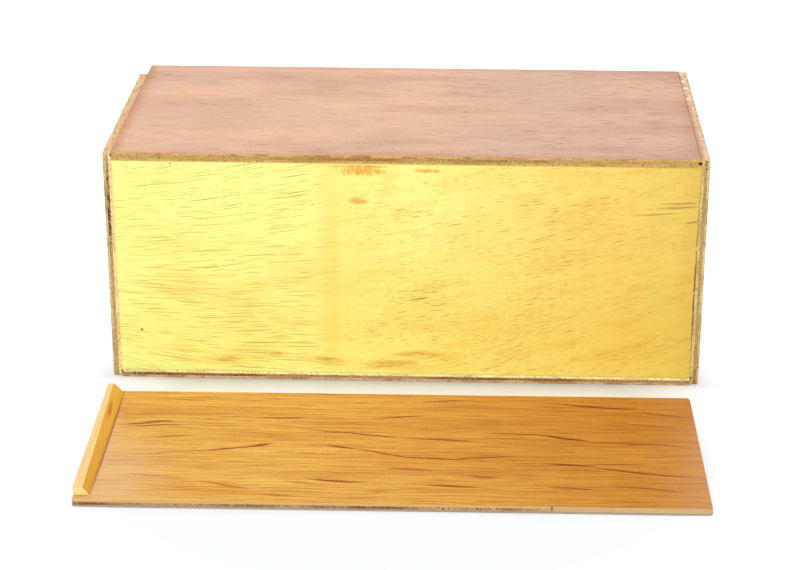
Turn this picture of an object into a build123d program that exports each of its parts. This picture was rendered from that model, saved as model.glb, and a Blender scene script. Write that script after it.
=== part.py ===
from build123d import *
import os

# Plywood box with a sliding lid. The box lies on one long side, its floor faces the front, its mouth
# faces the back, and the lid has been drawn out and laid flat in front of it.
# Millimetres. +X runs along the box to the right, +Y from the box's floor to its mouth, +Z up.
# The origin is the middle of the long side that the box lies on.

# Outer size of the box
box_length = 250.0            # X, over the outer faces of the two ends
box_width = 102.0             # Z, over the outer faces of the two long walls
box_depth = 122.0             # Y, from the floor's outer face to the rim

# Three-ply sheet of the walls, ends and floor: two face veneers on a crossed core
sheet_veneer = 1.1
sheet_core = 1.3

# Thinner three-ply sheet of the lid
lid_veneer = 0.8
lid_core = 1.2

# Mouth of the box: the left end is cut down, and a groove in each long wall carries the lid. The groove
# is one ply deep: a strip of the inner veneer is cut out down to the core.
left_end_drop = 12.0          # from the rim down to the cut-down end's edge
groove_play = 0.4             # groove's width over the lid's thickness
sill_clearance = 0.2          # groove's lower side over the cut-down end's edge

# Lid
lid_edge_play = 0.25          # each long edge short of its groove's bottom
lid_stop_play = 0.2           # lid's inner end short of the right end
lid_setback = 2.6             # lid's outer end inside the left end's outer face, when it is shut

# Finger strip across the lid's outer end: upright outside, flat on top, planed off towards the lid
strip_width = 6.3
strip_height_near = 3.4
strip_height_far = 4.0
strip_flat_near = 3.9         # width of the flat top at the near end
strip_flat_far = 2.3          # width of the flat top at the far end, where the bevel is wider
strip_side_play = 0.4         # each end of the strip short of the long wall that it passes
strip_near_cut = 2.6          # near end sawn off by so much more

# Corners and arrises, rubbed round by handling
end_corner_radius = 2.2
lid_corner_radius = 1.6
sheet_arris = 0.4
lid_arris = 0.3
strip_arris = 0.25

# Where the lid lies: in front of the box, hardly turned
lid_gap = 18.7                # from the box's front to the far edge of the lid, at its middle
lid_shift = -1.5
lid_turn = 0.45               # degrees

# Sizes that follow from those above
sheet_thickness = 2 * sheet_veneer + sheet_core
lid_thickness = 2 * lid_veneer + lid_core
inner_length = box_length - 2 * sheet_thickness
inner_width = box_width - 2 * sheet_thickness
left_end_depth = box_depth - left_end_drop
left_end_y = -left_end_drop / 2
rim_y = box_depth / 2
sill_y = rim_y - left_end_drop
groove_low_y = sill_y + sill_clearance
groove_high_y = groove_low_y + lid_thickness + groove_play
lid_length = box_length - sheet_thickness - lid_stop_play - lid_setback
lid_width = inner_width + 2 * (sheet_veneer - lid_edge_play)
strip_near_y = -inner_width / 2 + strip_side_play + strip_near_cut
strip_far_y = inner_width / 2 - strip_side_play
strip_length = strip_far_y - strip_near_y


def slab(outline, bottom, thickness):
    """A flat layer: the outline drawn at height bottom and thickened upwards."""
    return Pos(0, 0, bottom) * extrude(outline, thickness)


def plies(outline, veneer, core):
    """Outer veneer, core and inner veneer of a sheet whose outer face lies on the XY plane."""
    outer = slab(outline, 0, veneer)
    middle = slab(outline, veneer, core)
    inner = slab(outline, veneer + core, veneer)
    return outer, middle, inner


def soften(solid, edges, radius):
    """Round the given arrises, as far as handling has rubbed them."""
    return fillet(edges, radius) if radius > 0 else solid


def long_wall():
    """A long wall, outer face down. The groove parts its inner veneer in two."""
    outline = Rectangle(inner_length, box_depth)
    face, middle, inner = plies(outline, sheet_veneer, sheet_core)
    groove_width = groove_high_y - groove_low_y
    groove_outline = Pos(0, (groove_low_y + groove_high_y) / 2) * Rectangle(inner_length, groove_width)
    groove = slab(groove_outline, sheet_veneer + sheet_core, sheet_veneer)
    below, lip = (inner - groove).solids().sort_by(Axis.Y)
    long_arrises = face.faces().sort_by(Axis.Z)[0].edges().filter_by(Axis.X)
    return {
        "face_veneer": soften(face, long_arrises, sheet_arris),
        "core": middle,
        "inner_veneer": below,
        "groove_lip": lip,
    }


def end_panel(depth):
    """An end, outer face down, of the given depth along Y. It covers the ends of the long walls."""
    outline = RectangleRounded(depth, box_width, end_corner_radius)
    face, middle, inner = plies(outline, sheet_veneer, sheet_core)
    outer_arrises = face.faces().sort_by(Axis.Z)[0].edges()
    return {
        "face_veneer": soften(face, outer_arrises, sheet_arris),
        "core": middle,
        "inner_veneer": inner,
    }


def floor_panel():
    """The floor, outer face down, let in flush between the walls and the ends."""
    face, middle, inner = plies(Rectangle(inner_length, inner_width), sheet_veneer, sheet_core)
    return {"face_veneer": face, "core": middle, "inner_veneer": inner}


def lid_panel():
    """The lid, underside down, centred on the origin."""
    outline = RectangleRounded(lid_length, lid_width, lid_corner_radius)
    under, middle, face = plies(outline, lid_veneer, lid_core)
    upper_arrises = face.faces().sort_by(Axis.Z)[-1].edges()
    lower_arrises = under.faces().sort_by(Axis.Z)[0].edges()
    return {
        "face_veneer": soften(face, upper_arrises, lid_arris),
        "core": middle,
        "under_veneer": soften(under, lower_arrises, lid_arris),
    }


def strip_section(flat_top, height, y):
    """The finger strip's section at one end: outer side on X = 0, standing on Z = 0."""
    corners = [(0, 0), (strip_width, 0), (flat_top, height), (0, height)]
    upright = Plane(origin=(0, y, 0), x_dir=(1, 0, 0), z_dir=(0, -1, 0))
    return upright * make_face(Polyline(*corners, close=True))


def finger_strip():
    """The finger strip on the outer end of the lid's face. Its bevel widens towards the far end."""
    near = strip_section(strip_flat_near, strip_height_near, strip_near_y)
    far = strip_section(strip_flat_far, strip_height_far, strip_far_y)
    bar = loft([near, far], ruled=True)
    top_arrises = bar.faces().sort_by(Axis.Z)[-1].edges()
    bar = soften(bar, top_arrises, strip_arris)
    return Pos(-lid_length / 2, 0, lid_thickness) * bar


# The box: each panel is made outer face down and then turned to its place
outer_faces = {
    "upper_wall": Plane(origin=(0, 0, box_width), x_dir=(-1, 0, 0), z_dir=(0, 0, -1)),
    "lower_wall": Plane(origin=(0, 0, 0), x_dir=(1, 0, 0), z_dir=(0, 0, 1)),
    "left_end": Plane(origin=(-box_length / 2, left_end_y, box_width / 2), x_dir=(0, 1, 0), z_dir=(1, 0, 0)),
    "right_end": Plane(origin=(box_length / 2, 0, box_width / 2), x_dir=(0, 1, 0), z_dir=(-1, 0, 0)),
    "floor": Plane(origin=(0, -box_depth / 2, box_width / 2), x_dir=(1, 0, 0), z_dir=(0, 1, 0)),
}
panels = {
    "upper_wall": long_wall(),
    "lower_wall": long_wall(),
    "left_end": end_panel(left_end_depth),
    "right_end": end_panel(box_depth),
    "floor": floor_panel(),
}
box_nodes = {}
for panel_name, layers in panels.items():
    for layer_name, layer in layers.items():
        box_nodes[f"{panel_name}_{layer_name}"] = outer_faces[panel_name] * layer

# The lid: its veneers, core and finger strip, made at the origin and then laid in front of the box
lid_pieces = {f"lid_{layer_name}": layer for layer_name, layer in lid_panel().items()}
lid_pieces["lid_finger_strip"] = finger_strip()
lid_y = -box_depth / 2 - lid_gap - lid_width / 2
lid_place = Pos(lid_shift, lid_y, 0) * Rot(0, 0, lid_turn)
lid_nodes = {node_name: lid_place * piece for node_name, piece in lid_pieces.items()}

os.makedirs("parts", exist_ok=True)
for node_name, solid in {**box_nodes, **lid_nodes}.items():
    solid.label = node_name
    export_step(solid, f"parts/{node_name}.step")
print(len(box_nodes) + len(lid_nodes), "pieces written")

# The lid tried in its grooves: shut, half drawn and almost out, it must share no volume with the box
shut_x = box_length / 2 - sheet_thickness - lid_stop_play - lid_length / 2
shut_y = groove_low_y + groove_play / 2
for drawn in (0.0, lid_length / 2, lid_length - strip_width):
    lid_in_groove = Pos(shut_x - drawn, shut_y, box_width / 2) * Rot(-90, 0, 0)
    shared = 0.0
    for piece in lid_pieces.values():
        moved = lid_in_groove * piece
        for wall in box_nodes.values():
            common = moved.intersect(wall)
            if common is not None:
                shared += sum(part.volume for part in common.solids())
    print(f"lid drawn {drawn:.1f} mm: {shared:.4f} mm3 shared with the box")
print(f"lid {lid_length:.1f} x {lid_width:.1f} x {lid_thickness:.1f} mm")
print(f"finger strip {strip_length:.1f} mm long")
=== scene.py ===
# %% [markdown]
# A plywood box with a sliding lid
#
# The object is an old box made of thin three-ply sheet. It lies on one long side, with its floor to the
# front, and its lid has been drawn out of its grooves and laid flat before it. The shapes come from a CAD
# model that is already true to size, so nothing here moves or reshapes a piece. What is left to make is
# what the eye reads as wood: veneer, sawn ply edges, varnish, stains and wear.

# %% Load the model
import math
from collections import namedtuple

import bpy
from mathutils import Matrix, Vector


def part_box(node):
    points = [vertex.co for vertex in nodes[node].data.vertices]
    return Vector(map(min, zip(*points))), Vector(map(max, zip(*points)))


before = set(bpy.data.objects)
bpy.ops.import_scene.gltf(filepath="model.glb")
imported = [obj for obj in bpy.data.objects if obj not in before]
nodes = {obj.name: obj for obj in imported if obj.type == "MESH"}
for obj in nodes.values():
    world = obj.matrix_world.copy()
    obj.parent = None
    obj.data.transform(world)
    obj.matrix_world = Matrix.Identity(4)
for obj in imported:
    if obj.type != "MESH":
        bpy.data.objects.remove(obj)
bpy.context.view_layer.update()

# %% [markdown]
# The camera
#
# The picture was taken from a little right of the middle, from about 23 degrees above the table, with a long
# lens that keeps the box's sides nearly parallel. A camera could be aimed with a Track To constraint, but
# plain angles are easier to read and to change: a tilt down from level, and a small turn to the left.

# %% Camera
mm = 0.001
camera_place = Vector((28.9, -911.8, 402.7)) * mm
camera_tilt = 22.81          # degrees down from level
camera_turn = 2.08           # degrees to the left
camera_roll = 0.05           # degrees
lens_length = 98.9           # millimetres
sensor_width = 36.0          # millimetres

camera = bpy.data.objects.new("camera", bpy.data.cameras.new("camera"))
camera.data.lens = lens_length
camera.data.sensor_width = sensor_width
camera.location = camera_place
camera.rotation_euler = (math.radians(90 - camera_tilt), 0.0, math.radians(camera_turn))
camera.rotation_euler.rotate_axis("Z", math.radians(camera_roll))
bpy.context.scene.collection.objects.link(camera)
bpy.context.scene.camera = camera
bpy.context.scene.view_settings.view_transform = "Standard"
print("camera at", [round(c, 3) for c in camera.location], "metres")

# %% [markdown]
# Two helpers
#
# Colours are written as sRGB hex, the way a paint program shows them, while shaders work in linear light, so
# one function turns the one into the other. Node trees are easy to draw by hand and long to write in code.
# A single function that adds any node, sets it and links it keeps each material short enough to read.

# %% Colours and nodes
COLOUR_A, COLOUR_B, COLOUR_OUT = 6, 7, 2    # the colour sockets of a Mix node


def linear(hex_colour):
    """An sRGB hex colour as linear red, green, blue and alpha."""
    channels = [int(hex_colour[i:i + 2], 16) / 255 for i in (1, 3, 5)]
    light = [c / 12.92 if c <= 0.04045 else ((c + 0.055) / 1.055) ** 2.4 for c in channels]
    return (*light, 1.0)


def add_node(tree, kind, inputs=None, **settings):
    """Add a node. An input is a value, or the socket or node that feeds it."""
    node = tree.nodes.new("ShaderNode" + kind)
    for name, value in settings.items():
        setattr(node, name, value)
    for key, value in (inputs or {}).items():
        if isinstance(value, bpy.types.Node):
            value = value.outputs[0]
        if isinstance(value, bpy.types.NodeSocket):
            tree.links.new(value, node.inputs[key])
        else:
            node.inputs[key].default_value = value
    return node


print("amber", [round(c, 2) for c in linear("#E8A33D")])

# %% [markdown]
# The light tent
#
# The box was photographed on white paper in even light, as in a light tent. The tent is the world: it lights
# the object softly from all sides, a little cooler than the lamps, and what the camera sees of it, straight
# or in the varnish, is plain white. An image of a studio would light it too, but a plain colour keeps the
# wood's own colours true.

# %% World
tent_light = 0.56
world = bpy.data.worlds.new("light tent")
world.use_nodes = True
sky = world.node_tree
sky.nodes.clear()
ray = add_node(sky, "LightPath").outputs
mirrored = add_node(sky, "Math", {0: ray["Is Glossy Ray"], 1: ray["Is Transmission Ray"]}, operation="ADD")
seen = add_node(sky, "Math", {0: ray["Is Camera Ray"], 1: mirrored}, operation="ADD", use_clamp=True)
tent = add_node(sky, "Background", {"Color": linear("#F1F6FF"), "Strength": tent_light})
backdrop = add_node(sky, "Background", {"Color": linear("#FFFFFF"), "Strength": 1.0})
shown = add_node(sky, "MixShader", {0: seen, 1: tent, 2: backdrop})
add_node(sky, "OutputWorld", {"Surface": shown})
bpy.context.scene.world = world
print("tent light", tent_light)

# %% [markdown]
# The paper floor
#
# White paper returns nine tenths of the light that falls on it, so it renders a shade below white, and more
# so far from the lamps. A little glow, for the camera alone, lifts it to white. It is faint before the box
# and round the lid, so that the shadows at their feet are seen, and it grows from there outwards.

# %% Floor sheet
floor_reach = 3.0            # metres each way
corners = [(x * floor_reach, y * floor_reach, 0.0) for x, y in ((-1, -1), (1, -1), (1, 1), (-1, 1))]
paper_mesh = bpy.data.meshes.new("paper floor")
paper_mesh.from_pydata(corners, [], [(0, 1, 2, 3)])
paper_floor = bpy.data.objects.new("paper_floor", paper_mesh)
bpy.context.scene.collection.objects.link(paper_floor)
print("paper floor", 2 * floor_reach, "metres wide")

# %% Floor paper
near_glow, far_glow = 0.02, 0.60
shadow_middle = (0.0, -0.13, 0.0)
shadow_reach = (0.12, 0.10, 1.0)
far_reach = 1.4              # times the shadow's reach

paper = bpy.data.materials.new("white paper")
paper.use_nodes = True
sheet = paper.node_tree
sheet.nodes.clear()
ray = add_node(sheet, "LightPath").outputs
matt = add_node(sheet, "BsdfDiffuse", {"Color": linear("#F3F4F5")})
where = add_node(sheet, "TexCoord").outputs["Object"]
spread = {"Vector": where, "Location": shadow_middle, "Scale": shadow_reach}
near = add_node(sheet, "Mapping", spread, vector_type="TEXTURE")
away = add_node(sheet, "VectorMath", {0: near}, operation="LENGTH").outputs["Value"]
reach = {"Value": away, "From Min": 1.0, "From Max": far_reach, "To Min": near_glow, "To Max": far_glow}
lift = add_node(sheet, "MapRange", reach)
glow_level = add_node(sheet, "Math", {0: ray["Is Camera Ray"], 1: lift}, operation="MULTIPLY")
glow = add_node(sheet, "Emission", {"Color": linear("#F6F9FF"), "Strength": glow_level})
both = add_node(sheet, "AddShader", {0: matt, 1: glow})
add_node(sheet, "OutputMaterial", {"Surface": both})
paper_mesh.materials.append(paper)
print("paper glows from", near_glow, "to", far_glow)

# %% [markdown]
# Three lamps
#
# A soft lamp overhead, a little behind the box's front, lights the top and the lid and leaves a narrow
# shadow along the foot of the box. A wide one stands low in front, so that the upright golden face is bright
# and the shadow on the paper stays. A large dim panel behind fills the open mouth of the box. A sun would do
# too, but its shadows have hard edges.


# %% Lamps
def soft_lamp(name, place, aim, width, height, level):
    """An area lamp. Level 1 lights a surface that faces it as brightly as its colour is written."""
    lamp = bpy.data.objects.new(name, bpy.data.lights.new(name, "AREA"))
    away = Vector(place) - Vector(aim)
    lamp.data.shape = "RECTANGLE"
    lamp.data.size, lamp.data.size_y = width, height
    lamp.data.energy = level * math.pi ** 2 * away.length_squared
    lamp.location = place
    lamp.rotation_euler = away.to_track_quat("Z", "Y").to_euler()
    bpy.context.scene.collection.objects.link(lamp)


soft_lamp(
    "lamp overhead",
    place=(-0.01, 0.01, 1.10),
    aim=(0.0, -0.05, 0.05),
    width=0.14,
    height=0.14,
    level=0.49,
)
soft_lamp(
    "lamp in front",
    place=(-0.12, -1.40, 0.25),
    aim=(0.0, -0.06, 0.05),
    width=1.3,
    height=0.45,
    level=0.55,
)
soft_lamp(
    "panel behind",
    place=(0.10, 1.40, 0.55),
    aim=(0.0, 0.06, 0.05),
    width=2.0,
    height=2.0,
    level=0.24,
)
print(len(bpy.data.lights), "lamps")

# %% [markdown]
# What all the woods share
#
# A wood pattern is simplest in axes of its own: along the fibres, across them, and through the sheet. The
# veneers lie in different planes, so each material starts by sorting the object's axes into that order, in
# millimetres. A mask then tells the broad face of a sheet from its sawn edges. UV maps could do the same,
# but places on the solid itself run on from one face to the next, as the fibres of real wood do.

# %% Wood axes
Wood = namedtuple("Wood", "material tree place axis grain side face")
edge_until, face_from = 0.75, 0.95    # how squarely a place looks through the sheet


def new_wood(name, axes):
    """A wood material. The axes are letters: along the fibres, across them, through the sheet.

    It keeps places in millimetres, the three axes, the grain's own axes, how squarely a place looks along
    X, Y or Z, and the mask of the broad face.
    """
    along, across, through = axes
    material = bpy.data.materials.new(name)
    material.use_nodes = True
    tree = material.node_tree
    tree.nodes.clear()
    where = add_node(tree, "TexCoord").outputs
    place = add_node(tree, "VectorMath", {0: where["Object"], "Scale": 1 / mm}, operation="SCALE")
    axis = add_node(tree, "SeparateXYZ", {0: place}).outputs
    grain = add_node(tree, "CombineXYZ", {0: axis[along], 1: axis[across], 2: axis[through]})
    facing = add_node(tree, "VectorMath", {0: where["Normal"]}, operation="ABSOLUTE")
    side = add_node(tree, "SeparateXYZ", {0: facing}).outputs
    squarely = {"Value": side[through], "From Min": edge_until, "From Max": face_from}
    face = add_node(tree, "MapRange", squarely)
    return Wood(material, tree, place, axis, grain, side, face)


print("a wood keeps", ", ".join(Wood._fields))

# %% [markdown]
# Streaks and pores
#
# Two patterns make most of the wood. Streaks are soft noise drawn out along the fibres. Pores are the cut
# vessels of a broad-leaved tree: slim dark lenses, one near the heart of each cell of a Voronoi pattern,
# each with a length and a darkness of its own. Where a wood calls for it, pores keep to certain parts of the
# sheet. Real fibres and pores are a tenth of a millimetre wide or less, too fine to show here, so both are
# drawn coarser.

# %% Streaks
fibre_roughness = 0.55       # how much the finer noise in a streak counts


def blotches(wood, size, detail=2.0, roughness=0.5, turn=0.0, place=None):
    """Noise about a half. Its blotches have a size in X, Y and Z, in millimetres, and a turn about Y."""
    drawn = add_node(
        wood.tree,
        "Mapping",
        {"Vector": place or wood.place, "Rotation": (0.0, math.radians(turn), 0.0), "Scale": size},
        vector_type="TEXTURE",
    )
    noise = {"Vector": drawn, "Scale": 1.0, "Detail": detail, "Roughness": roughness}
    return add_node(wood.tree, "TexNoise", noise)


def streaks(wood, length, width, detail=2.0, grain=None):
    """Blotches drawn out along the fibres to a length and width in millimetres."""
    return blotches(wood, (length, width, width), detail, fibre_roughness, place=grain or wood.grain)


print("streaks have a roughness of", fibre_roughness)

# %% Pores
shortest_pore = 0.35         # times the longest
pore_heart = 0.3             # the share of a pore, from its middle, that is fully dark


def pores(wood, length, width, along, across, parts=(), grain=None):
    """Lenses from 0 to 1, of at most a length and width, in cells so far apart along and across.

    Each part is a pattern, the value at which pores begin and the value at which all are there.
    """
    tree = wood.tree
    lens_shape = (2 * along / length, 2 * across / width, 0.0)
    cell = add_node(
        tree,
        "Mapping",
        {"Vector": grain or wood.grain, "Scale": (along, across, across)},
        vector_type="TEXTURE",
    )
    heart = add_node(tree, "TexVoronoi", {"Vector": cell, "Scale": 1.0}, voronoi_dimensions="2D").outputs
    chance = add_node(tree, "SeparateXYZ", {0: heart["Color"]}).outputs
    offset = add_node(tree, "VectorMath", {0: cell, 1: heart["Position"]}, operation="SUBTRACT")
    slim = add_node(tree, "VectorMath", {0: offset, 1: lens_shape}, operation="MULTIPLY")
    away = add_node(tree, "VectorMath", {0: slim}, operation="LENGTH").outputs["Value"]
    size = add_node(tree, "MapRange", {"Value": chance["X"], "To Min": shortest_pore, "To Max": 1.0})
    reach = add_node(tree, "Math", {0: away, 1: size}, operation="DIVIDE")
    lens = add_node(tree, "MapRange", {"Value": reach, "From Min": 1.0, "From Max": pore_heart})
    dark = add_node(tree, "Math", {0: lens, 1: chance["Y"]}, operation="MULTIPLY")
    for pattern, start, full in parts:
        here = add_node(tree, "MapRange", {"Value": pattern, "From Min": start, "From Max": full})
        dark = add_node(tree, "Math", {0: dark, 1: here}, operation="MULTIPLY")
    return dark


print("the shortest pore is", shortest_pore, "of the longest")

# %% [markdown]
# Marks and edges
#
# An old box has stains, knots and chips at places of its own. Each is a soft oval with a centre, a size and
# a turn, measured on the object in millimetres. Dirt gathers, and varnish wears, along the edge of a sheet,
# so one more pattern tells how far a place lies from the nearest edge.

# %% Marks and edges
oval_heart = 0.2             # the share of an oval, from its middle, that is full
far_off = 1000.0             # millimetres, further than any edge


def marks(wood, ovals, broken=1.0, place=None):
    """Ovals from 0 to 1, broken up by another pattern. With no ovals, 0 everywhere.

    Each oval is a centre, half its size along each axis, and a turn in degrees about each.
    """
    tree = wood.tree
    strongest = 0.0
    for centre, size, turn in ovals:
        angles = [math.radians(angle) for angle in turn]
        near = add_node(
            tree,
            "Mapping",
            {"Vector": place or wood.place, "Location": centre, "Rotation": angles, "Scale": size},
            vector_type="TEXTURE",
        )
        away = add_node(tree, "VectorMath", {0: near}, operation="LENGTH").outputs["Value"]
        oval = add_node(tree, "MapRange", {"Value": away, "From Min": 1.0, "From Max": oval_heart})
        strongest = add_node(tree, "Math", {0: strongest, 1: oval}, operation="MAXIMUM")
    return add_node(tree, "Math", {0: strongest, 1: broken}, operation="MULTIPLY")


def from_edge(wood, node, through):
    """Millimetres in from the nearest edge of a sheet, whose broad faces do not count."""
    tree = wood.tree
    low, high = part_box(node)
    half = (high - low) / 2 / mm
    half["XYZ".index(through)] = far_off
    outward = add_node(tree, "VectorMath", {0: wood.place, 1: (low + high) / 2 / mm}, operation="SUBTRACT")
    outward = add_node(tree, "VectorMath", {0: outward}, operation="ABSOLUTE")
    inward = add_node(tree, "VectorMath", {0: half, 1: outward}, operation="SUBTRACT")
    gap = add_node(tree, "SeparateXYZ", {0: inward}).outputs
    nearest = add_node(tree, "Math", {0: gap["X"], 1: gap["Y"]}, operation="MINIMUM")
    return add_node(tree, "Math", {0: nearest, 1: gap["Z"]}, operation="MINIMUM")


print("marks are full over", oval_heart, "of their size")

# %% [markdown]
# Coats of colour
#
# Colour goes on as it does in the workshop. A ground colour comes first. Stain darkens what is under it, so
# its coats multiply; bleaching and rubbing replace what is under them, so their coats mix. Each coat follows
# a pattern: it starts at one value of the pattern and has its whole strength at another.


# %% Coats
def coated(wood, ground, coats, blend="MIX"):
    """Coats over a ground colour, each a pattern, where it starts and is full, its strength, its colour."""
    for pattern, start, full, strength, colour in coats:
        cover = add_node(
            wood.tree,
            "MapRange",
            {"Value": pattern, "From Min": start, "From Max": full, "To Max": strength},
            interpolation_type="SMOOTHSTEP",
        )
        coat = add_node(
            wood.tree,
            "Mix",
            {0: cover, COLOUR_A: ground, COLOUR_B: linear(colour) if isinstance(colour, str) else colour},
            data_type="RGBA",
            blend_type=blend,
        )
        ground = coat.outputs[COLOUR_OUT]
    return ground


print("coats are ready")

# %% [markdown]
# Shader and slots
#
# Varnish and bare wood differ mostly in how sharply they mirror the light. Both are clear films or fibres
# with an index near 1.5, so one Principled shader serves, and the roughness tells them apart. A shallow bump
# follows the fibres, a few hundredths of a millimetre on varnished veneer and more on a sawn edge.

# %% Shader
wood_index = 1.5


def finished(wood, colour, roughness, relief, depth, sheen=0.5):
    """The shader. The relief runs from 0 to 1 and is depth millimetres high."""
    bump = add_node(wood.tree, "Bump", {"Height": relief, "Strength": 1.0, "Distance": depth * mm})
    look = {"Base Color": colour, "Roughness": roughness, "IOR": wood_index, "Specular IOR Level": sheen}
    shader = add_node(wood.tree, "BsdfPrincipled", {**look, "Normal": bump})
    add_node(wood.tree, "OutputMaterial", {"Surface": shader})
    return wood.material


def dress(material, *names):
    """Give CAD nodes a material."""
    for name in names:
        nodes[name].material_slots[0].material = material
    print(material.name, "on", len(names), "pieces")


# %% [markdown]
# Chipped corners and beads of glue
#
# Where the long walls meet the ends, the saw and many years of knocks have broken out the ply at the four
# front corners. The hollows and gaps there are not cut in the solids; their dark colour is painted shade.
# The same dark marks go on every piece that meets there. At the right end a few beads of glue were pressed
# out of the joint and dried pale along the top edge.

# %% Corners and glue
flat = (0, 0, 0)
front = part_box("floor_face_veneer")[0].y / mm
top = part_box("upper_wall_face_veneer")[1].z / mm
mark_depth = 2.5             # how far back from the front a mark reaches, millimetres
bead_depth = 3.0
# painted shade: the dark colour of the chipped corners' hollows
chip_shade = "#6A4420"
dried_glue = "#F8E0BC"


def on_front(x, z, half_width, half_height, turn=0):
    """An oval on the front of the box."""
    return (x, front, z), (half_width, mark_depth, half_height), (0, turn, 0)


corner_chips = [
    on_front(-121.8, 100.8, 0.9, 1.7, turn=30),
    on_front(121.0, 100.4, 1.5, 1.3),
    on_front(-121.3, 3.0, 0.8, 1.6, turn=-30),
    on_front(121.8, 3.4, 0.7, 2.2, turn=8),
]
beads = [
    # x, y, half width, half length
    (122.0, 45.0, 1.6, 4.0),
    (122.3, 35.0, 2.0, 3.0),
    (121.8, 29.0, 1.4, 2.0),
    (122.0, 19.5, 1.6, 3.5),
    (121.8, 56.0, 1.4, 3.0),
]
glue_beads = [((x, y, top), (width, length, bead_depth), flat) for x, y, width, length in beads]
print(len(corner_chips), "chipped corners and", len(glue_beads), "beads of glue")

# %% [markdown]
# Mahogany veneer on the walls and ends
#
# The long walls are faced with a plain pinkish mahogany, knife-cut and given thin satin varnish that
# handling has worn. To the eye it is a soft rose brown: warm and greyish clouds, faint ribbons, and short
# dark pores that gather in some places and are missing in others. Sawn edges of the bare veneer show tan.

# %% Mahogany on the walls
wall_axes, end_axes = "XYZ", "ZYX"


def wall_coats(wood, node):
    """What only a long wall has: fine pores and a cooler tone at the right, and darkened ends."""
    left, right = [corner.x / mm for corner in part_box(node)]
    fine = pores(wood, 15, 0.8, 12, 1.5, [(wood.axis["X"], -10, 90)])
    return [
        (fine, 0.0, 0.9, 0.7, "#AC7C64"),
        (wood.axis["X"], 0.0, 50.0, 1.0, "#F5F6FA"),
        (wood.axis["X"], right - 0.8, right - 0.3, 0.4, "#A88468"),
        (wood.axis["X"], left + 4.5, left + 1.0, 1.0, "#F2EAD8"),
    ]


print("walls have grain along", wall_axes[0], "and ends along", end_axes[0])


# %% Mahogany
def mahogany(name, axes, node, pore, edge_colour, top_edge_colour):
    """Mahogany with pores of about the given width in millimetres, and its edges in front and on top."""
    wood = new_wood(name, axes)
    cloud = streaks(wood, 60, 24)
    ribbon = streaks(wood, 45, 12, detail=3.0)
    fibre = streaks(wood, 14, 1.2, detail=3.0)
    smudge = streaks(wood, 9, 2.5)
    grit = streaks(wood, 1.0, 0.6)
    crowd = streaks(wood, 42, 11, detail=1.0)
    dashes = pores(wood, 11 * pore, 1.1 * pore, 11 * pore, 2.2 * pore, [(crowd, 0.48, 0.62)])
    flecks = pores(wood, 4 * pore, 0.8 * pore, 5 * pore, 1.5 * pore)
    edge = from_edge(wood, node, axes[-1])
    face_colour = coated(wood, linear("#DDB192"), [
        (cloud, 0.45, 0.68, 0.5, "#CCA68A"),
        (cloud, 0.45, 0.28, 0.5, "#EAB78E"),
    ])
    face_colour = coated(wood, face_colour, [
        (ribbon, 0.45, 0.7, 0.3, "#DAB8A2"),
        (fibre, 0.45, 0.75, 0.4, "#D4B2A0"),
        (flecks, 0.0, 1.0, 0.35, "#B98A70"),
        (dashes, 0.0, 1.0, 0.75, "#A06C52"),
        (edge, 1.2, 0.0, 0.3, "#B99078"),
        (edge, 7.0, 0.0, 0.5, "#EED8C8"),
        (grit, 0.45, 0.75, 0.3, "#D6B49C"),
        *(wall_coats(wood, node) if axes == wall_axes else []),
    ], "MULTIPLY")
    sawn = coated(wood, linear(edge_colour), [(wood.side["Z"], 0.5, 0.9, 1.0, top_edge_colour)])
    sawn = coated(wood, sawn, [
        (smudge, 0.45, 0.62, 0.7, "#C8A878"),
        (grit, 0.48, 0.7, 0.7, "#C09860"),
        # painted shade in the chipped corners
        (marks(wood, corner_chips, grit), 0.2, 0.45, 0.9, chip_shade),
    ], "MULTIPLY")
    colour = coated(wood, sawn, [(wood.face, 0.0, 1.0, 1.0, face_colour)])
    satin = add_node(wood.tree, "MapRange", {"Value": cloud, "To Min": 0.5, "To Max": 0.65})
    return finished(wood, colour, roughness=satin, relief=fibre, depth=0.03, sheen=0.35)


mahogany_sheets = [
    # panel, axes, pore width, edge colour in front, edge colour on top
    ("upper_wall", wall_axes, 1.0, "#D0A85C", "#D0A85C"),
    ("lower_wall", wall_axes, 1.0, "#E8C082", "#E8C082"),
    ("left_end", end_axes, 0.6, "#CDBF8E", "#E8BC8E"),
    ("right_end", end_axes, 0.6, "#DCC88A", "#DEC2A0"),
]
for panel, axes, pore, edge_colour, top_edge_colour in mahogany_sheets:
    veneer = panel + "_face_veneer"
    dress(mahogany("mahogany, " + panel, axes, veneer, pore, edge_colour, top_edge_colour), veneer)

# %% [markdown]
# Limba: how the grain runs
#
# The floor is faced with limba, a yellow wood whose grain is seldom straight. Here it rises to the right at
# the top left, falls at the bottom left, and turns over towards the right end. Bending the mesh would spoil
# the sheet, so the pattern's own axes are bent instead: each place is shifted across the grain by as much as
# the fibres have climbed on their way there.

# %% Limba grain
grain_rise = 0.155           # mean rise of the fibres along the panel
grain_bend = 0.157           # how the rise changes from the middle to the right end
grain_fan = 0.013            # how it changes from the middle to the top
grain_twist = -0.22          # how the fan turns over from left to right
grain_ripple = 2.5           # sideways waver, millimetres


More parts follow.
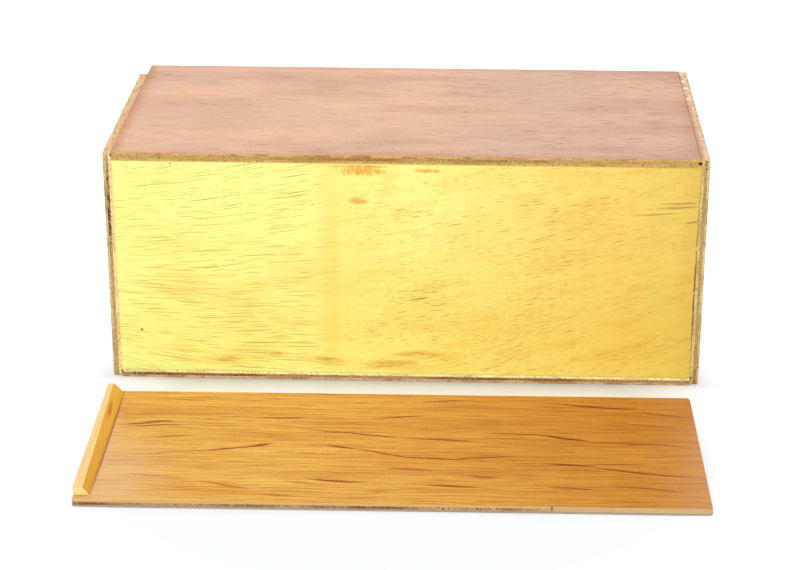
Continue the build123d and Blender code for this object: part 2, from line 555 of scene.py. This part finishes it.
def limba_grain(wood, unit, half_length):
    """The grain axes of the limba, from places that run from -1 to 1 over the panel."""
    tree = wood.tree
    start = add_node(tree, "Math", {0: unit["Z"], 1: grain_fan, 2: grain_rise}, operation="MULTIPLY_ADD")
    turn = {0: unit["Z"], 1: grain_twist / 2, 2: grain_bend / 2}
    change = add_node(tree, "Math", turn, operation="MULTIPLY_ADD")
    rise = add_node(tree, "Math", {0: unit["X"], 1: change, 2: start}, operation="MULTIPLY_ADD")
    run = add_node(tree, "Math", {0: unit["X"], 1: -half_length}, operation="MULTIPLY")
    slow = streaks(wood, 45, 14, detail=1.0)
    ripple = add_node(tree, "MapRange", {"Value": slow, "To Min": -grain_ripple, "To Max": grain_ripple})
    climb = add_node(tree, "Math", {0: run, 1: rise, 2: ripple}, operation="MULTIPLY_ADD")
    across = add_node(tree, "CombineXYZ", {1: climb})
    return add_node(tree, "VectorMath", {0: wood.grain, 1: across}, operation="ADD")


print("limba grain rises", grain_rise, "and turns", grain_twist)

# %% [markdown]
# Limba: figure and pores
#
# In the left third, bleached behind something that once stood against it, the pores are long fine lines.
# Further right the grain dips, and each pore is cut to a short dash. A broad figure, a mottle at the right
# and fine fibres lie under them. Each of these is a coat that multiplies the yellow ground. A painted shade,
# darker towards the foot of the face, is one more such coat.

# %% Limba figure
bleached_until = -0.36       # the bleached part's edge, from -1 at the left to 1 at the right
lines_until = -0.2
dashes_from = -0.1


def limba_figure_and_shade(wood, unit, grain, fibre, patch):
    """Coats for what has grown: figure, fibres and pores; and painted shade towards the foot."""
    figure = streaks(wood, 60, 9, detail=3.0, grain=grain)
    grit = streaks(wood, 2, 0.7, detail=3.0, grain=grain)
    speckle = streaks(wood, 14, 5, detail=4.0, grain=grain)
    on_right = {"Value": unit["X"], "From Min": bleached_until, "From Max": dashes_from}
    rightward = add_node(wood.tree, "MapRange", on_right)
    mottle = add_node(wood.tree, "Math", {0: speckle, 1: rightward}, operation="MULTIPLY")
    left_part = (unit["X"], lines_until, bleached_until)
    right_part = (unit["X"], bleached_until, dashes_from)
    lines = pores(wood, 30, 0.5, 20, 1.8, [left_part], grain)
    thin_lines = pores(wood, 13, 0.42, 10, 1.15, [left_part], grain)
    dashes = pores(wood, 8.0, 0.4, 7.0, 1.5, [right_part, (patch, 0.38, 0.58)], grain)
    thin_dashes = pores(wood, 4.5, 0.34, 4.5, 1.1, [right_part, (figure, 0.36, 0.52)], grain)
    return [
        # painted shade: darker towards the foot of the upright face, near the floor
        (unit["Z"], 0.6, -0.8, 0.35, "#FFF3D4"),
        (figure, 0.48, 0.75, 0.4, "#FBE8C4"),
        (patch, 0.5, 0.75, 0.35, "#F8E4C0"),
        (mottle, 0.46, 0.72, 0.5, "#F6E4B8"),
        (fibre, 0.45, 0.75, 0.3, "#F8E6C8"),
        (grit, 0.5, 0.75, 0.3, "#F0DCB0"),
        (thin_lines, 0.0, 0.8, 0.9, "#D6B05C"),
        (lines, 0.0, 0.8, 1.0, "#CA9C3C"),
        (thin_dashes, 0.0, 0.8, 0.9, "#D0B266"),
        (dashes, 0.0, 0.8, 1.0, "#BE9844"),
    ]


print("limba is bleached up to", bleached_until, "of its half length")

# %% [markdown]
# Limba: stains and rubs
#
# The golden face has a history. Something orange ran along its top edge and dripped, a drop dried below it,
# water stood at the foot, a pin was pulled out, and a cloth rubbed slantwise across the middle. These are
# the marks by which one would know this box again, so they are placed by measure.

# %% Limba marks
orange_run = [
    on_front(-18.0, 95.2, 21.0, 4.4),
    on_front(-18.0, 97.2, 26.0, 1.4),
    on_front(9.0, 95.6, 12.0, 2.0),
]
orange_drop = [on_front(-19.3, 82.1, 7.2, 2.9, turn=3)]
foot_stains = [
    on_front(-6.0, 8.0, 32.0, 4.6, turn=-4),
    on_front(6.0, 12.6, 26.0, 4.0),
    on_front(-76.0, 8.9, 16.0, 4.2),
    on_front(-34.0, 9.4, 24.0, 4.4, turn=3),
    on_front(-55.0, 12.0, 9.0, 3.0),
]
warm_parts = [
    on_front(-98.0, 44.0, 46.0, 20.0),
    on_front(-85.0, 12.0, 60.0, 17.0),
    on_front(10.0, 8.0, 50.0, 16.0),
]
zone_edge = [on_front(-31.0, 51.0, 6.0, 70.0)]
# the pin holes are not cut in the solid; their dark colour is painted shade
pin_holes = [on_front(-111.9, 22.3, 0.8, 0.8), on_front(-97.0, 97.5, 0.5, 0.5)]
long_scratch = [on_front(6.0, 38.4, 7.0, 0.45, turn=-10)]
end_streaks = [
    on_front(114.0, 82.8, 14.0, 0.8, turn=-3),
    on_front(113.0, 81.0, 15.0, 1.3, turn=-3),
    on_front(104.0, 77.9, 18.0, 0.7, turn=-4),
    on_front(119.0, 74.6, 5.0, 1.0, turn=-6),
]
cloth_rub = [on_front(3.0, 77.0, 40.0, 40.0)]
dark_joint = [on_front(121.4, 45.0, 1.1, 70.0)]
joint_chips = [
    on_front(121.3, 75.0, 0.7, 0.9),
    on_front(121.3, 63.0, 0.6, 1.4),
    on_front(121.2, 43.3, 0.7, 1.6),
]
print(len(orange_run + orange_drop + foot_stains), "stains")


# %% Limba history
def limba_history_and_shade(wood, unit, grain, fibre):
    """Coats for what has happened to it: stains, scratches, holes and dirt; a dark border line, which is the
    joint with painted shade; and a face darker towards the right end.
    """
    drips = blotches(wood, (2.0, 30, 4), detail=4.0, roughness=0.7)
    smear = streaks(wood, 6, 0.8, detail=4.0)
    stained_lines = streaks(wood, 7, 0.45, detail=3.0)
    warm = streaks(wood, 26, 1.5, detail=3.0, grain=grain)
    edge = from_edge(wood, "floor_face_veneer", "Y")
    return [
        (marks(wood, warm_parts, warm), 0.38, 0.62, 0.5, "#F8D28A"),
        (marks(wood, zone_edge), 0.0, 1.0, 0.25, "#F8E2B4"),
        (marks(wood, orange_run, drips), 0.26, 0.5, 0.85, "#F5B060"),
        (marks(wood, orange_drop, smear), 0.16, 0.5, 0.85, "#F0B466"),
        (marks(wood, foot_stains), 0.1, 1.0, 0.35, "#FADC92"),
        (marks(wood, foot_stains, stained_lines), 0.35, 0.56, 0.7, "#E2A04C"),
        (marks(wood, long_scratch), 0.2, 0.8, 0.8, "#A57838"),
        (marks(wood, end_streaks, fibre), 0.15, 0.5, 0.65, "#B8943E"),
        # painted shade in the pin holes
        (marks(wood, pin_holes), 0.2, 0.8, 0.95, "#4A302A"),
        # the dark line round the border: the joint, with painted shade under the edges of the walls
        (edge, 0.6, 0.1, 0.4, "#C8A256"),
        # darker and cooler towards the right end of the face
        (unit["X"], 0.72, 0.9, 1.0, "#F7FFFF"),
        (unit["X"], 0.90, 1.0, 0.6, "#F2E6CE"),
        (marks(wood, dark_joint, drips), 0.2, 0.5, 0.9, "#8A6430"),
    ]


print("the limba's history is ready")

# %% [markdown]
# Golden limba on the floor panel
#
# The sheet is knife-cut limba under clear varnish. To the eye it is a bright yellow that deepens to gold at
# the right, and towards the foot, where painted shade darkens it; it is paler where the cloth rubbed it,
# with the figure and the history over it.

# %% Limba
floor_axes = "XZY"


def golden_limba(name):
    """Limba for the floor's face: a yellow ground, the rub, the figure, the history, painted shade at the
    foot and along the border, chips at the joint.
    """
    wood = new_wood(name, floor_axes)
    low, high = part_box("floor_face_veneer")
    half = (high - low) / 2 / mm
    measured = {"Vector": wood.place, "Location": (low + high) / 2 / mm, "Scale": half}
    centred = add_node(wood.tree, "Mapping", measured, vector_type="TEXTURE")
    unit = add_node(wood.tree, "SeparateXYZ", {0: centred}).outputs
    grain = limba_grain(wood, unit, half.x)
    fibre = streaks(wood, 22, 1.0, grain=grain)
    patch = streaks(wood, 45, 22, detail=1.0, grain=grain)
    rubbed = blotches(wood, (3.0, 30, 60), detail=1.0, turn=20)
    ragged = blotches(wood, (1.3, 30, 0.7), detail=3.0)
    ground = coated(wood, linear("#F5EF83"), [
        (unit["X"], -0.12, 1.1, 1.0, "#F0CA56"),
        (unit["X"], -0.24, -0.34, 1.0, "#F4F690"),
        (marks(wood, cloth_rub, rubbed), 0.3, 0.42, 0.4, "#FDF79A"),
    ])
    grown_and_shade = limba_figure_and_shade(wood, unit, grain, fibre, patch)
    history_and_shade = limba_history_and_shade(wood, unit, grain, fibre)
    colour = coated(wood, ground, grown_and_shade + history_and_shade, "MULTIPLY")
    colour = coated(wood, colour, [(marks(wood, joint_chips, ragged), 0.2, 0.5, 0.5, "#EEDCA0")])
    varnish = add_node(wood.tree, "MapRange", {"Value": patch, "To Min": 0.3, "To Max": 0.45})
    return finished(wood, colour, roughness=varnish, relief=fibre, depth=0.02)


dress(golden_limba("golden limba, floor"), "floor_face_veneer")

# %% [markdown]
# Bare birch inside
#
# The inner veneers were never varnished. They are rotary-cut birch, a close pale wood that has yellowed with
# age. To the eye it is even and dull, with soft broad figure and pores too small to count. Its sawn edges
# differ in colour from panel to panel, so each panel has an edge colour of its own.


# %% Birch
def birch(name, axes, edge_colour, top_edge_colour):
    """Birch, with the colours of its edges in front and on top."""
    wood = new_wood(name, axes)
    figure = streaks(wood, 70, 8)
    fibre = streaks(wood, 18, 1.0)
    smudge = streaks(wood, 9, 2.5)
    grit = streaks(wood, 1.0, 0.6)
    fine = pores(wood, 5, 0.6, 7, 1.6)
    face_colour = coated(wood, linear("#F2DFB4"), [
        (figure, 0.4, 0.7, 0.6, "#E6CBA0"),
        (fibre, 0.45, 0.75, 0.5, "#DDBF95"),
        (fine, 0.0, 1.0, 0.5, "#A98455"),
    ], "MULTIPLY")
    sawn = coated(wood, linear(edge_colour), [(wood.side["Z"], 0.5, 0.9, 1.0, top_edge_colour)])
    sawn = coated(wood, sawn, [
        (smudge, 0.45, 0.62, 0.4, "#C4A06C"),
        (grit, 0.48, 0.7, 0.7, "#BC9054"),
        # painted shade in the chipped corners
        (marks(wood, corner_chips, grit), 0.2, 0.45, 0.9, chip_shade),
    ], "MULTIPLY")
    sawn = coated(wood, sawn, [(marks(wood, glue_beads, grit), 0.2, 0.4, 0.9, dried_glue)])
    colour = coated(wood, sawn, [(wood.face, 0.0, 1.0, 1.0, face_colour)])
    return finished(wood, colour, roughness=0.6, relief=fibre, depth=0.04, sheen=0.35)


birch_sheets = [
    # panel, axes, edge colour in front, edge colour on top, pieces
    ("upper_wall", wall_axes, "#CCAA5E", "#CCAA5E", ["inner_veneer", "groove_lip"]),
    ("lower_wall", wall_axes, "#FCF0AC", "#FCF0AC", ["inner_veneer", "groove_lip"]),
    ("left_end", end_axes, "#F2DAA6", "#DCAE82", ["inner_veneer"]),
    ("right_end", end_axes, "#DEC27C", "#CCA680", ["inner_veneer"]),
    ("floor", floor_axes, "#DDBA72", "#DDBA72", ["inner_veneer"]),
]
for panel, axes, edge_colour, top_edge_colour, layers in birch_sheets:
    inner = birch("bare birch, " + panel, axes, edge_colour, top_edge_colour)
    dress(inner, *[f"{panel}_{layer}" for layer in layers])

# %% [markdown]
# The crossed core
#
# The middle ply runs across the others. Faces that look along its fibres, front and back, show their sawn
# ends: rough, full of old dust, a dull olive brown with dark specks and a few voids. Faces that look across
# them, like the tops of the two ends, show long pale fibres instead. One material tells the two apart by the
# way a face looks.

# %% Core marks
slit_x, slit_y = 59.8, -176.3    # a slit in the lid's front edge
# The voids and the slit are not cut in the solids; their near-black colour is painted shade.
core_voids = [
    on_front(-115.9, 1.8, 0.9, 0.7),
    on_front(-114.3, 1.7, 0.7, 0.5),
    on_front(-124.2, 90.7, 0.6, 1.4),
    ((slit_x, slit_y, 1.4), (0.9, 2.0, 2.2), flat),
]
packed_dirt = [on_front(-123.2, 78.0, 2.2, 46.0)]
print(len(core_voids), "voids in the core")


# %% Core
def crossband(name, ground, dust, fibre_colour, bleached):
    """The core: its sawn ends with so much dust, its long fibres, and from where to where X bleaches it."""
    wood = new_wood(name, "YXZ")
    run = blotches(wood, (26, 26, 26), detail=1.0)
    speck = blotches(wood, (0.8, 6.0, 0.8), detail=3.0, roughness=0.7)
    clump = blotches(wood, (1.4, 6.0, 3.2))
    sawn_ends = coated(wood, linear(ground), [
        (run, 0.45, 0.65, dust, "#A87C48"),
        (speck, 0.52, 0.7, 0.85, "#785830"),
        (marks(wood, packed_dirt, clump), 0.36, 0.52, 0.85, "#74542A"),
        # painted shade: chips, voids and the slit, near black where their hollows would be
        (marks(wood, corner_chips + core_voids), 0.2, 0.7, 0.95, "#2E2216"),
    ], "MULTIPLY")
    sawn_ends = coated(wood, sawn_ends, [(speck, 0.46, 0.3, 0.7, "#DCBC7C")])
    if bleached:
        sawn_ends = coated(wood, sawn_ends, [(wood.axis["X"], *bleached, 0.8, "#C6AE7C")])
    long_fibres = coated(wood, linear(fibre_colour), [(speck, 0.46, 0.7, 0.7, "#C0946A")], "MULTIPLY")
    long_fibres = coated(wood, long_fibres, [(marks(wood, glue_beads), 0.3, 0.6, 0.9, dried_glue)])
    colour = coated(wood, long_fibres, [(wood.side["Y"], 0.4, 0.8, 1.0, sawn_ends)])
    return finished(wood, colour, roughness=0.85, relief=speck, depth=0.12, sheen=0.2)


tan_fibres = "#E4BA88"
core_sheets = [
    # name, colour of the sawn ends, dust, colour of the long fibres, bleached part, pieces
    ("box", "#BE9C5C", 0.5, tan_fibres, None, ["upper_wall_core", "left_end_core", "floor_core"]),
    ("right", "#B49A5E", 0.5, "#E4C29A", None, ["right_end_core"]),
    ("low", "#B4905A", 0.7, tan_fibres, None, ["lower_wall_core"]),
    ("lid", "#AC8A5C", 0.8, tan_fibres, (40, 75), ["lid_core"]),
]
for name, ground, dust, fibre_colour, bleached, cores in core_sheets:
    dress(crossband("sawn crossband, " + name, ground, dust, fibre_colour, bleached), *cores)

# %% [markdown]
# Fir: the dark streaks
#
# The lid is faced with fir. The sheet was peeled almost flat to the growth rings, so the hard dark wood of
# each year shows as a long wandering streak, thin here and thick there. Noise alone would scatter streaks
# anywhere; the strongest ones are set where they lie on the lid, each from one end to the other.

# %% Fir streaks
dark_streaks = [
    # from x, y, to x, y, width in millimetres
    (-113.8, -112.0, -92.3, -108.8, 2.6),
    (-112.0, -113.6, -86.0, -112.2, 2.2),
    (-60.0, -104.6, -36.0, -104.6, 1.7),
    (-14.0, -104.0, 9.0, -100.6, 1.8),
    (-27.0, -114.8, 2.0, -120.8, 1.7),
    (0.0, -120.3, 32.0, -122.6, 2.2),
    (33.0, -115.0, 62.0, -116.3, 1.6),
    (58.0, -116.0, 76.0, -120.0, 3.0),
    (74.0, -120.5, 119.4, -124.9, 1.8),
    (-82.0, -135.3, -54.0, -128.8, 1.5),
    (-60.0, -130.0, -50.5, -126.8, 2.8),
    (-30.0, -128.2, -17.0, -131.0, 2.8),
    (-18.0, -130.7, 4.0, -137.4, 1.6),
    (0.0, -136.8, 25.0, -138.6, 1.6),
    (22.0, -138.4, 46.0, -135.4, 1.6),
    (57.0, -140.4, 80.0, -142.8, 2.6),
    (76.0, -143.6, 119.0, -149.9, 2.2),
    (-34.5, -157.4, -12.0, -158.2, 2.4),
    (10.0, -160.1, 33.0, -161.2, 2.4),
    (60.0, -86.6, 100.4, -91.3, 2.2),
    (96.0, -92.6, 118.0, -97.9, 2.0),
]
faint_streaks = [
    (-113.5, -86.0, -80.0, -88.2, 1.8),
    (-80.0, -103.7, -58.0, -104.7, 1.6),
    (-38.0, -104.6, -14.0, -104.0, 1.5),
    (-44.0, -112.7, -22.0, -116.4, 1.6),
    (-110.0, -139.1, -80.0, -135.0, 1.6),
    (73.6, -140.8, 101.2, -139.3, 2.0),
    (-107.1, -155.4, -88.0, -157.2, 2.2),
    (-77.0, -160.4, -54.0, -165.4, 2.0),
    (26.0, -151.9, 40.0, -153.2, 2.4),
    (56.0, -159.7, 80.0, -162.2, 2.4),
    (4.0, -88.5, 30.0, -83.8, 1.8),
    (-56.0, -169.8, -36.0, -172.2, 2.2),
    (84.0, -158.6, 112.0, -162.5, 2.2),
    (-5.0, -146.0, 14.0, -146.8, 2.0),
    (-106.0, -124.0, -84.0, -122.6, 2.0),
    (84.0, -104.0, 112.0, -108.0, 2.0),
]
print(len(dark_streaks), "dark and", len(faint_streaks), "faint streaks")

# %% Fir marks
lid_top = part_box("lid_face_veneer")[1].z / mm
lid_turn = 0.45              # degrees, as the lid lies
streak_depth = 5.0           # deeper than the veneer, millimetres
half_streak = 0.7            # of a streak's length; a half would be short, because an oval fades at its tips
# the dark line beside the finger strip: glue, with painted shade of the crease at the strip's foot
glue_and_shade_line = [((-116.8, -126.5, lid_top), (0.9, 70.0, streak_depth), (0, 0, lid_turn))]
# a pale patch at the lid's front left: wear, with painted reflection of the white backdrop
worn_and_reflection_corner = [((-118.0, -160.0, lid_top), (40.0, 60.0, streak_depth), flat)]
# painted shade of the slit, which is not cut in the solid
edge_slit = [((slit_x, slit_y, lid_top), (0.8, 0.9, 4.0), flat)]


def streak_ovals(drawn):
    """The centre, size and turn of each streak."""
    ovals = []
    for from_x, from_y, to_x, to_y, width in drawn:
        length = math.hypot(to_x - from_x, to_y - from_y)
        centre = ((from_x + to_x) / 2, (from_y + to_y) / 2, lid_top)
        size = (half_streak * length, width / 2, streak_depth)
        turn = (0, 0, math.degrees(math.atan2(to_y - from_y, to_x - from_x)))
        ovals.append((centre, size, turn))
    return ovals


dark_ovals, faint_ovals = streak_ovals(dark_streaks), streak_ovals(faint_streaks)
print("lid face at", round(lid_top, 2), "millimetres")

# %% [markdown]
# Varnished fir on the lid
#
# The varnish on the lid is thicker and glossier than on the box, and it has turned amber; the lid grows
# darker towards the right end. To the eye there is a warm orange ground, close fine lines, and the red-brown
# streaks over them, which waver because a slow noise shifts the whole pattern sideways. The underside has
# the same wood, bare; its sawn edges are a dark grey brown, painted shade where the lid lies on the floor.

# %% Fir
fir_waver = 2.6              # sideways, millimetres


def fir(name, ground, edge_colour, roughness, dark, faint, glue_and_shade):
    """Fir with dark and faint streaks, and a dark line beside the finger strip: glue with painted shade."""
    wood = new_wood(name, "XYZ")
    tree = wood.tree
    slow = streaks(wood, 40, 14)
    waver = add_node(tree, "MapRange", {"Value": slow, "To Min": -fir_waver, "To Max": fir_waver})
    sideways = add_node(tree, "CombineXYZ", {1: waver})
    flow = add_node(tree, "VectorMath", {0: wood.grain, 1: sideways}, operation="ADD")
    broad = streaks(wood, 80, 7, grain=flow)
    fine = streaks(wood, 70, 0.9, grain=flow)
    hair = streaks(wood, 14, 0.65, detail=3.0, grain=flow)
    fray = streaks(wood, 30, 1.0, grain=flow)
    stray = streaks(wood, 55, 1.4, grain=flow)
    grit = streaks(wood, 1.6, 0.7, grain=flow)
    dark_marks = marks(wood, dark, fray, flow)
    flecks = pores(wood, 2.4, 0.9, 14, 8.0, [(wood.axis["X"], 0, 80)])
    colour = coated(wood, linear(ground), [
        # the lid grows darker towards the right end
        (wood.axis["X"], -60, 110, 1.0, "#E0C598"),
        (broad, 0.45, 0.7, 0.42, "#E6C294"),
        (wood.axis["Y"], -150, -85, 0.8, "#F3EFE6"),
        (fine, 0.45, 0.64, 0.45, "#CC9C68"),
        (hair, 0.48, 0.7, 0.7, "#D2A66A"),
        (stray, 0.58, 0.72, 0.55, "#C0863C"),
        (grit, 0.45, 0.75, 0.4, "#D8B078"),
        (marks(wood, faint, fray, flow), 0.1, 0.42, 0.75, "#BC7C48"),
        (dark_marks, 0.04, 0.26, 0.4, "#D29C6A"),
        (dark_marks, 0.14, 0.38, 0.92, "#B4661E"),
    ], "MULTIPLY")
    colour = coated(wood, colour, [
        # wear with painted reflection at the front left corner
        (marks(wood, worn_and_reflection_corner), 0.0, 0.9, 0.4, "#E0B88A"),
        (wood.axis["X"], 90, 121, 0.3, "#C88C58"),
        (flecks, 0.2, 0.8, 0.35, "#F0CE9A"),
        (wood.face, 1.0, 0.0, 1.0, edge_colour),
    ])
    colour = coated(wood, colour, [
        # glue with painted shade beside the finger strip
        (marks(wood, glue_and_shade), 0.2, 0.8, 0.8, "#A87440"),
        # painted shade in the slit
        (marks(wood, edge_slit), 0.2, 0.7, 0.9, "#4A3018"),
    ], "MULTIPLY")
    return finished(wood, colour, roughness=roughness, relief=fine, depth=0.02, sheen=0.3)


face_fir = fir(
    "varnished fir, lid face",
    ground="#EEB75A",
    edge_colour="#CA9C66",
    roughness=0.36,
    dark=dark_ovals,
    faint=faint_ovals,
    glue_and_shade=glue_and_shade_line,
)
under_fir = fir(
    "bare fir, lid underside",
    ground="#DDB47C",
    # painted shade: the underside's sawn edges are dark grey where the lid's edge meets the floor
    edge_colour="#A2917A",
    roughness=0.6,
    dark=[],
    faint=faint_ovals,
    glue_and_shade=[],
)
dress(face_fir, "lid_face_veneer")
dress(under_fir, "lid_under_veneer")

# %% [markdown]
# The finger strip
#
# The strip is a planed sliver of pine, glued across the end of the lid, with its grain along it. Fingers
# have rubbed its flat top pale; on the bevel the amber varnish is still whole, with a small knot in it. The
# sawn ends are pale, and glue and painted shade make a dark line where the bevel meets the lid.

# %% Strip
knot = [((-119.6, -104.0, 5.0), (1.8, 15.0, 4.0), (0, 0, 5))]
# the dark line along the foot is glue with painted shade
glue_and_shade_height = 0.3            # of the dark line along the foot, millimetres


def strip_pine(name):
    """Pine for the strip: its flat top, its bevel and its ends, told apart by the way they look."""
    wood = new_wood(name, "YXZ")
    figure = streaks(wood, 60, 2.0)
    fibre = streaks(wood, 25, 0.7)
    colour = coated(wood, linear("#FBC878"), [
        (wood.side["Z"], 0.97, 0.86, 1.0, "#E4A43A"),
        (wood.side["Y"], 0.6, 0.9, 1.0, "#F6D890"),
    ])
    colour = coated(wood, colour, [
        (figure, 0.45, 0.72, 0.4, "#E8C490"),
        (fibre, 0.45, 0.72, 0.3, "#E6C698"),
        (marks(wood, knot, figure), 0.2, 0.5, 0.9, "#DAB450"),
        # glue with painted shade along the bevel's foot
        (wood.axis["Z"], lid_top + glue_and_shade_height, lid_top, 0.6, "#A87838"),
    ], "MULTIPLY")
    return finished(wood, colour, roughness=0.3, relief=fibre, depth=0.02)


dress(strip_pine("varnished pine, finger strip"), "lid_finger_strip")
